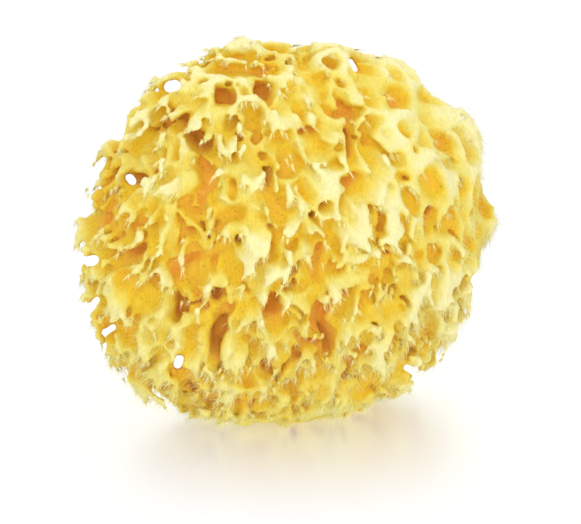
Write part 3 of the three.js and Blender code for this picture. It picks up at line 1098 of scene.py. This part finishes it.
def joined_tubes(name, tube, tips, t, tones, skins, skin_share):
    """One mesh of many tubes, given as rings of corners for each tube, each closed at its root by its
    first ring and at its tip by a point. What would reach under the cut lies flat in its plane. The
    tubes' paleness is stored on it: it grows along a tube, and is less where its root lies deep, which
    carries the body's painted shade onto the fibres. A fibre is thin enough to catch light like the skin
    under it, so its normals lean to the skin's."""
    count, rings, sides = tube.shape[:3]
    per = rings * sides + 1
    vertices = np.concatenate([tube.reshape(count, rings * sides, 3), tips], 1).reshape(-1, 3)
    vertices[:, 2] = np.maximum(vertices[:, 2], 0)
    faces = []
    for r in range(rings - 1):
        for s in range(sides):
            a = r * sides + s
            b = r * sides + (s + 1) % sides
            faces += [(a, b, b + sides), (a, b + sides, a + sides)]
    for s in range(sides):
        faces.append(((rings - 1) * sides + s, (rings - 1) * sides + (s + 1) % sides, rings * sides))
    for s in range(1, sides - 1):
        faces.append((0, s + 1, s))
    faces = np.array(faces)
    all_faces = (faces[None, :, :] + (np.arange(count) * per)[:, None, None]).reshape(-1, 3)
    obj = new_mesh_object(name, vertices, all_faces)
    along = np.concatenate([np.repeat(t[:rings], sides), [1.0]])
    # Painted shade: a fibre is more golden where the tone at its root is deep.
    pale = 0.45 + 0.75 * along[None, :] - np.clip((tones[:, None] - 3.5) / 6, 0, 1)
    set_attribute(obj.data, "pale", pale.ravel())
    normals = (1 - skin_share) * normals_of(obj.data) + skin_share * np.repeat(skins, per, 0)
    obj.data.normals_split_custom_set_from_vertices(unit(normals))
    return obj


def thorns(name, roots, ways, bends, flats, lengths, radii, tones, sides=5, rings=4):
    """Many flattened thorns as one mesh. A thorn's middle runs along its way and bends aside with the
    square of the distance. Its oval rings are wide at the root and shrink towards a point at the tip,
    fast at first, by a power of what is left of the length."""
    t = np.linspace(0, 1, rings + 1)
    spine = (roots[:, None, :] + lengths[:, None, None] * (t[None, :, None] * ways[:, None, :]
             + (t * t)[None, :, None] * bends[:, None, :]))
    side = unit(np.cross(ways, flats))
    shrink = (0.16 + 0.84 * (1 - t[:rings]) ** 1.7) * (1 - 0.5 * t[:rings])
    tube = ringed(spine, side, np.cross(ways, side), radii, shrink, sides, 0.6)
    return joined_tubes(name, tube, spine[:, rings:, :], t, tones, flats, 0.3)



def fray_object(fibres, shape):
    """Frayed bundles: a few fibres that run on from the end of a tip, the same way as it."""
    rng = np.random.default_rng(shape.seed + 1)
    ends = made["ends"]
    low = np.clip((-ends[:, 2] - 5) / 35, 0, 1)
    wish = 0.08 + low
    count = min(fibres.frays, len(ends))
    picks = rng.choice(len(ends), count, replace=False, p=wish / wish.sum())
    picks = np.repeat(picks, FIBRES_PER_FRAY)
    root, low = ends[picks], low[picks]
    skin = unit(share_slope(root))
    down = comb(root, skin)
    ways = unit(made["ways"][picks] + 0.3 * down + rng.normal(0, 0.17, root.shape))
    bends = 0.2 * down + rng.normal(0, 0.2, root.shape)
    lengths = fibres.fray_length / MM * rng.uniform(0.35, 1.1, len(root)) * (0.8 + 0.4 * low)
    root = root + rng.normal(0, 0.22, root.shape) - 0.5 * ways
    radii = fibres.thickness / MM / 2 * rng.uniform(0.6, 1.2, len(root))
    place = root * MM + made["offset"]
    return hairs("sponge_frays", place, ways, bends, lengths * MM, radii * MM, 0.5 + 2 * low, skin)



def thorn_object(fibres, shape):
    """Crisp small thorns: one on the end of each of the body's tips, and the rest along the edges of the
    ridges, where the skin turns sideways."""
    rng = np.random.default_rng(shape.seed + 3)
    points, normals, sunk = made["points"], made["normals"], made["sunk"]
    skin = unit(share_slope(points))
    jut = (normals * skin).sum(1)
    smooth = smoothness(points[:, 0], points[:, 2])
    wish = np.clip(2.0 - sunk, 0, 1.5) * np.clip(1.05 - np.abs(jut), 0, 1) * (1 - 0.85 * smooth)
    wish *= (points[:, 2] > -MIDDLE_HEIGHT + 6) & made["clear"]
    ends = made["ends"]
    picks = rng.choice(len(points), max(fibres.thorns - len(ends), 0), replace=False, p=wish / wish.sum())
    root = np.vstack([ends, points[picks]])
    out = np.vstack([made["ways"], normals[picks]])
    flat = unit(share_slope(root))
    down = comb(root, flat)
    across = unit(out - (out * flat).sum(1, keepdims=True) * flat * 0.9)
    ways = unit(across + 0.8 * down + 0.05 * flat + rng.normal(0, 0.22, root.shape))
    bends = 0.25 * down + rng.normal(0, 0.2, root.shape)
    lengths = rng.uniform(*THORN_LENGTHS, len(root)) * (1 - 0.7 * smoothness(root[:, 0], root[:, 2]))
    radii = rng.uniform(*THORN_RADII, len(root)) * (0.6 + 0.2 * lengths)
    root = root - 0.35 * ways
    tones = np.concatenate([np.full(len(ends), 1.0), made["tone"][picks]])
    place = root * MM + made["offset"]
    return thorns("sponge_thorns", place, ways, bends, flat, lengths * MM, radii * MM, tones)


def fuzz_objects(fibres, shape):
    """Hairs that lie over the plates, combed down. They are short and sparse on the crown and the smooth
    part, and long towards the foot. They come as two meshes of like size."""
    rng = np.random.default_rng(shape.seed + 2)
    points, normals, sunk = made["points"], made["normals"], made["sunk"]
    skin = unit(share_slope(points))
    low = np.clip((12 - points[:, 2]) / 50, 0, 1)
    side = np.clip((points[:, 0] - 30) / 25, 0, 1)
    wish = np.clip(3.0 - sunk, 0.03, 2.5) * (0.12 + low + 0.9 * side)
    wish *= np.clip((normals * skin).sum(1) + 0.3, 0.05, 1)
    wish *= (points[:, 2] > -MIDDLE_HEIGHT + 1.5) & made["clear"]
    picks = rng.choice(len(points), min(fibres.fuzz, len(points) // 2), replace=False, p=wish / wish.sum())
    halves = []
    for number, part in enumerate(np.array_split(picks, 2), 1):
        root = points[part]
        down = comb(root, skin[part])
        reach = np.maximum(low[part], 0.55 * side[part])
        lean = (0.7 - 0.45 * reach)[:, None]
        ways = unit(lean * normals[part] + (1.1 - lean) * down + rng.normal(0, 0.28, root.shape))
        bends = 0.2 * down + rng.normal(0, 0.22, root.shape)
        lengths = fibres.fuzz_length / MM * rng.uniform(0.4, 1.3, len(root)) * (0.3 + 1.1 * reach)
        radii = fibres.thickness / MM / 2 * rng.uniform(0.35, 0.65, len(root))
        place = (root - 0.1 * normals[part]) * MM + made["offset"]
        halves.append(hairs(f"sponge_fuzz_{number}", place, ways, bends, lengths * MM, radii * MM,
                            made["tone"][part], skin[part]))
    return halves


# ------------------------------
# Materials
# ------------------------------
def blank_material(name):
    """A new material with no nodes, and its node tree."""
    material = bpy.data.materials.new(name)
    material.use_nodes = True
    material.node_tree.nodes.clear()
    return material, material.node_tree


def node(tree, kind, place, inputs, **settings):
    """A shader node of a kind at a place, with its settings. Each input named takes a value, or is linked
    to the output of another node."""
    new_node = tree.nodes.new(kind)
    new_node.location = place
    for key, value in settings.items():
        setattr(new_node, key, value)
    for key, value in inputs.items():
        if isinstance(value, bpy.types.NodeSocket):
            tree.links.new(value, new_node.inputs[key])
        else:
            new_node.inputs[key].default_value = value
    return new_node


def noise(tree, place, vector, scale, detail, roughness=0.5):
    """The value of a noise texture over the vector."""
    inputs = {"Vector": vector, "Scale": scale, "Detail": detail, "Roughness": roughness}
    return node(tree, "ShaderNodeTexNoise", place, inputs).outputs["Fac"]


def arithmetic(tree, place, operation, *values):
    """The result of an operation on up to three values."""
    return node(tree, "ShaderNodeMath", place, dict(enumerate(values)), operation=operation).outputs[0]


def spread(tree, place, value, old, new, **settings):
    """The value moved from one range to another, given as pairs, and held within it."""
    inputs = {"Value": value, "From Min": old[0], "From Max": old[1], "To Min": new[0], "To Max": new[1]}
    return node(tree, "ShaderNodeMapRange", place, inputs, **settings).outputs[0]


def colour_ramp(tree, place, share, stops):
    """Colours blended along the share, from stops given as position and colour."""
    ramp = node(tree, "ShaderNodeValToRGB", place, {0: share})
    while len(ramp.color_ramp.elements) < len(stops):
        ramp.color_ramp.elements.new(0.5)
    for element, (at, colour) in zip(ramp.color_ramp.elements, stops):
        element.position = at
        element.color = (*colour, 1)
    return ramp.outputs[0]


def spongin_material(colours):
    """Velvety spongin. A ramp over how deep a point lies, plus how closed in it is, runs from cream
    through golden yellow to orange brown, a painted shade and warm bounce light that deepen into the
    hollows. Noise breaks it up, fine dark pores of painted shade dot the pit floors, and fine grain makes
    the nap."""
    material, tree = blank_material("Spongin")
    place = node(tree, "ShaderNodeTexCoord", (-1400, 0), {}).outputs["Object"]
    tone = node(tree, "ShaderNodeAttribute", (-1400, 300), {}, attribute_name="tone").outputs["Fac"]
    # The tone, moved by small patches and by broad ones.
    patches = noise(tree, (-1150, 0), place, 160.0, 3.0)
    broad = noise(tree, (-1150, -200), place, 55.0, 2.0)
    drift = arithmetic(tree, (-950, 100), "MULTIPLY_ADD", patches, 2.4, -1.2)
    further = arithmetic(tree, (-950, -100), "MULTIPLY_ADD", broad, 6.0, -3.0)
    both = arithmetic(tree, (-800, 50), "ADD", drift, further)
    closed = arithmetic(tree, (-700, 250), "ADD", tone, both)
    share = spread(tree, (-500, 350), closed, (0.0, 15.0), (0.0, 1.0))
    # The ramp paints shade: cream where a place is open, golden and orange brown where it is deep or closed
    # in.
    stops = ((0.09, colours.tip), (0.23, colours.plate), (0.40, colours.floor), (0.76, colours.depth))
    ramp = colour_ramp(tree, (-300, 350), share, stops)
    # Pores: small dark round dots of painted shade, as inside tiny holes, most of them on the pit floors
    # where the painted shade is deep.
    cells = {"Vector": place, "Scale": 640.0, "Randomness": 1.0}
    dots = node(tree, "ShaderNodeTexVoronoi", (-700, -250), cells).outputs["Distance"]
    dot = spread(tree, (-500, -250), dots, (0.08, 0.24), (1.0, 0.0))
    on_floors = spread(tree, (-500, -500), closed, (3.0, 8.0), (0.25, 1.0))
    pore_shade = arithmetic(tree, (-300, -300), "MULTIPLY", dot, on_floors)
    faint = arithmetic(tree, (-120, -300), "MULTIPLY", pore_shade, 0.55)
    # The dots' dark orange brown is painted shade in the pores.
    dotted = {0: faint, 6: ramp, 7: (0.42, 0.14, 0.02, 1)}
    dark = node(tree, "ShaderNodeMix", (100, 250), dotted, data_type="RGBA", blend_type="MIX")
    # Nap: fine streaks of lighter and darker fibre, drawn out downwards.
    combing = {"Vector": place, "Scale": (1, 1, 0.22)}
    combed = node(tree, "ShaderNodeMapping", (-950, -800), combing).outputs[0]
    nap = noise(tree, (-700, -800), combed, 1500.0, 4.0, 0.7)
    value = spread(tree, (-100, -600), nap, (0.3, 0.7), (0.88, 1.06))
    shaded = {"Value": value, "Color": dark.outputs[2]}
    tint = node(tree, "ShaderNodeHueSaturation", (350, 200), shaded).outputs[0]
    coarse = noise(tree, (-700, -1050), place, 520.0, 5.0, 0.65)
    height = arithmetic(tree, (-300, -900), "MULTIPLY_ADD", nap, 0.5, coarse)
    grain = {"Strength": 0.55, "Distance": 0.5 * MM, "Height": height}
    bump = node(tree, "ShaderNodeBump", (600, -400), grain).outputs[0]
    skin = node(tree, "ShaderNodeBsdfPrincipled", (1100, 0), {
        "Base Color": tint,
        "Normal": bump,
        "Roughness": 0.88,
        "Specular IOR Level": 0.1,
        "Sheen Weight": 0.04,
        "Sheen Roughness": 0.5,
        "Subsurface Weight": 0.3,
        "Subsurface Radius": (1.0, 0.9, 0.7),
        "Subsurface Scale": 0.5 * MM,
    })
    node(tree, "ShaderNodeOutputMaterial", (1400, 0), {0: skin.outputs[0]})
    return material


def fibre_material(colours):
    """Single fibres: a ramp over their paleness, from golden through yellow to bright cream; the golden end
    is painted shade at roots that lie deep.
    """
    material, tree = blank_material("Spongin fibre")
    pale = node(tree, "ShaderNodeAttribute", (-600, 0), {}, attribute_name="pale").outputs["Fac"]
    stops = ((0.0, colours.floor), (0.4, colours.plate), (0.9, colours.fibre))
    ramp = colour_ramp(tree, (-350, 0), pale, stops)
    finish = {"Base Color": ramp, "Roughness": 0.7, "Specular IOR Level": 0.0}
    skin = node(tree, "ShaderNodeBsdfPrincipled", (0, 0), finish)
    node(tree, "ShaderNodeOutputMaterial", (300, 0), {0: skin.outputs[0]})
    return material


def floor_material():
    """A white floor that stays white, with a blurred mirror image in it that fades away from the sponge.
    The image throws no light back on the sponge."""
    material, tree = blank_material("White floor")
    glow = node(tree, "ShaderNodeEmission", (100, 100), {"Color": (1, 1, 1, 1), "Strength": WHITE})
    gloss = {"Color": (1, 0.975, 0.82, 1), "Roughness": 0.34}
    mirror = node(tree, "ShaderNodeBsdfGlossy", (100, -100), gloss)
    place = node(tree, "ShaderNodeTexCoord", (-600, 300), {}).outputs["Object"]
    away = node(tree, "ShaderNodeVectorMath", (-400, 300), {0: place}, operation="LENGTH")
    share = spread(tree, (-200, 300), away.outputs["Value"], (0.0, 0.1), (0.75, 0.04),
                   interpolation_type="SMOOTHSTEP")
    ray = node(tree, "ShaderNodeLightPath", (-200, 500), {}).outputs["Is Diffuse Ray"]
    seen = node(tree, "ShaderNodeMix", (100, 350), {0: ray, 2: share, 3: 0.0}, data_type="FLOAT")
    halves = {0: seen.outputs[0], 1: glow.outputs[0], 2: mirror.outputs[0]}
    mix = node(tree, "ShaderNodeMixShader", (400, 0), halves)
    node(tree, "ShaderNodeOutputMaterial", (600, 0), {0: mix.outputs[0]})
    return material


def white_room(room):
    """A world that shows as pure white and lights matt surfaces with the room's brightness."""
    world = bpy.data.worlds.new("White room")
    world.use_nodes = True
    tree = world.node_tree
    ray = node(tree, "ShaderNodeLightPath", (-600, 0), {}).outputs["Is Diffuse Ray"]
    strength = node(tree, "ShaderNodeMix", (-300, 0), {0: ray, 2: WHITE, 3: room}, data_type="FLOAT")
    background = tree.nodes["Background"]
    background.inputs["Color"].default_value = (1, 1, 1, 1)
    tree.links.new(strength.outputs[0], background.inputs["Strength"])
    return world


# ------------------------------
# Operators
# ------------------------------
class SPONGE_OT_body(bpy.types.Operator):
    """Grow the sponge's body with its pits, holes, plates and tips"""

    bl_idname = "sponge.body"
    bl_label = "Sponge Body"

    def execute(self, context):
        scene = context.scene
        body = body_object(scene.sponge_shape)
        body.data.materials.clear()
        body.data.materials.append(spongin_material(scene.sponge_colours))
        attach(body, BODY)
        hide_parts(NODE)
        return {"FINISHED"}


class SPONGE_OT_fibres(bpy.types.Operator):
    """Grow the frayed bundles, the thorns and the hairs out of the body"""

    bl_idname = "sponge.fibres"
    bl_label = "Sponge Fibres"

    def execute(self, context):
        scene = context.scene
        if "points" not in made:
            raise RuntimeError("grow the body first")
        material = fibre_material(scene.sponge_colours)
        settings = (scene.sponge_fibres, scene.sponge_shape)
        for piece in (fray_object(*settings), thorn_object(*settings), *fuzz_objects(*settings)):
            piece.data.materials.append(material)
            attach(piece, BODY)
        return {"FINISHED"}


def area_light(name, place, aim, size, power):
    """A square soft light at a place, turned to a point."""
    data = bpy.data.lights.new(name, "AREA")
    data.shape = "SQUARE"
    data.size = size
    data.energy = power
    light = bpy.data.objects.new(name, data)
    light.location = place
    light.rotation_euler = (aim - place).to_track_quat("-Z", "Y").to_euler()
    bpy.context.scene.collection.objects.link(light)



class SPONGE_OT_stage(bpy.types.Operator):
    """Set up the camera, the pale floor, the white room and the soft lights"""

    bl_idname = "sponge.stage"
    bl_label = "Stage"

    def execute(self, context):
        scene = context.scene
        stage = scene.sponge_stage
        low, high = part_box(NODE)
        middle = (low + high) / 2
        middle.z = low.z + MM * MIDDLE_HEIGHT
        camera_data = bpy.data.cameras.new("Camera")
        camera_data.lens = stage.lens
        camera_data.clip_start = 0.01
        camera = bpy.data.objects.new("Camera", camera_data)
        eye = Vector(-EYE_DISTANCE * MM * SIGHT)
        aim = middle + Vector(SIGHT_UP) * (AIM_UP * MM) + Vector((AIM_ACROSS * MM, 0, 0))
        camera.location = aim + eye
        camera.rotation_euler = (-eye).to_track_quat("-Z", "Y").to_euler()
        scene.collection.objects.link(camera)
        scene.camera = camera
        floor_mesh = bpy.data.meshes.new("floor")
        corners = [(FLOOR_HALF * x, FLOOR_HALF * y, 0) for x, y in ((-1, -1), (1, -1), (1, 1), (-1, 1))]
        floor_mesh.from_pydata(corners, [], [(0, 1, 2, 3)])
        floor = bpy.data.objects.new("floor", floor_mesh)
        floor.data.materials.append(floor_material())
        scene.collection.objects.link(floor)
        scene.world = white_room(stage.room)
        scene.view_settings.view_transform = "Standard"
        for name, power, place, size in LIGHTS:
            area_light(name, middle + Vector(place), middle, size, getattr(stage, power))
        return {"FINISHED"}


class SPONGE_PT_panel(bpy.types.Panel):
    """Lists the steps in order, with their sizes and colours"""

    bl_idname = "SPONGE_PT_panel"
    bl_label = "Sponge"
    bl_space_type = "VIEW_3D"
    bl_region_type = "UI"
    bl_category = "Sponge"

    def draw(self, context):
        layout = self.layout
        for operator in OPERATORS:
            layout.operator(operator.bl_idname)
        for group_name in GROUPS:
            box = layout.box()
            group = getattr(context.scene, group_name)
            box.label(text=GROUPS[group_name].__name__)
            for name in GROUPS[group_name].__annotations__:
                box.prop(group, name)


OPERATORS = (SPONGE_OT_stage, SPONGE_OT_body, SPONGE_OT_fibres)
GROUPS = {
    "sponge_shape": SpongeShape,
    "sponge_fibres": SpongeFibres,
    "sponge_colours": SpongeColours,
    "sponge_stage": SpongeStage,
}


def register():
    """Registers the groups, the operators and the panel."""
    for group_name, group in GROUPS.items():
        bpy.utils.register_class(group)
        setattr(bpy.types.Scene, group_name, PointerProperty(type=group))
    for operator in OPERATORS:
        bpy.utils.register_class(operator)
    bpy.utils.register_class(SPONGE_PT_panel)


def unregister():
    """Takes them away again."""
    bpy.utils.unregister_class(SPONGE_PT_panel)
    for operator in reversed(OPERATORS):
        bpy.utils.unregister_class(operator)
    for group_name, group in reversed(GROUPS.items()):
        delattr(bpy.types.Scene, group_name)
        bpy.utils.unregister_class(group)


def main():
    """Builds everything in order."""
    register()
    bpy.ops.sponge.stage()
    bpy.ops.sponge.body()
    bpy.ops.sponge.fibres()


if __name__ == "__main__":
    main()
